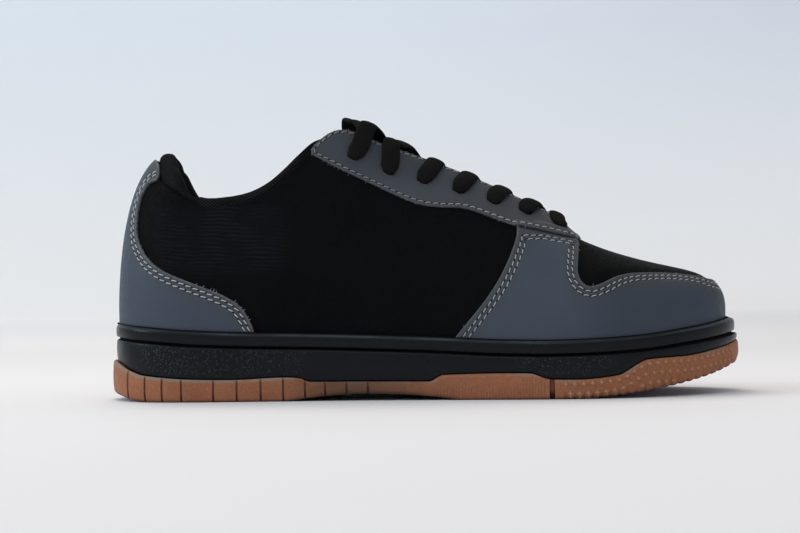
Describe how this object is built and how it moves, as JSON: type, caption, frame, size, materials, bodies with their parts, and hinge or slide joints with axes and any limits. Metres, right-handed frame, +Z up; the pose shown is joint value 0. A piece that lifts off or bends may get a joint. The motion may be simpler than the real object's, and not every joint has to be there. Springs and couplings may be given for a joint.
{
  "type": "sneaker",
  "caption": "Low-top court sneaker: black leather upper with grey leather overlays, padded collar, flat laces, black cupsole and a gum outsole with a blocked heel edge.",
  "frame": {"origin": "on the floor, under the middle of the shoe's box", "axes": "+X towards the toe, +Y towards the inner side of the foot, +Z up"},
  "size_m": [0.27, 0.1, 0.1193],
  "materials": {
    "gum_rubber": "matte moulded gum",
    "black_rubber": "satin moulded rubber, lightly grained",
    "footbed_textile": "woven cover on foam",
    "black_leather": "grained, low sheen",
    "grey_leather": "smooth, soft sheen",
    "tongue_textile": "padded mesh",
    "lace_textile": "flat woven lace"
  },
  "bodies": {
    "root": {"outsole": "gum_rubber", "cupsole": "black_rubber", "insole": "footbed_textile", "upper": "black_leather", "heel_counter": "grey_leather", "toe_overlay": "grey_leather", "eyestay": "grey_leather", "tongue": "tongue_textile", "lace_cross_1": "lace_textile", "lace_cross_2": "lace_textile", "lace_cross_3": "lace_textile", "lace_cross_4": "lace_textile", "lace_cross_5": "lace_textile", "lace_cross_6": "lace_textile", "lace_bar": "lace_textile"}
  },
  "joints": []
}
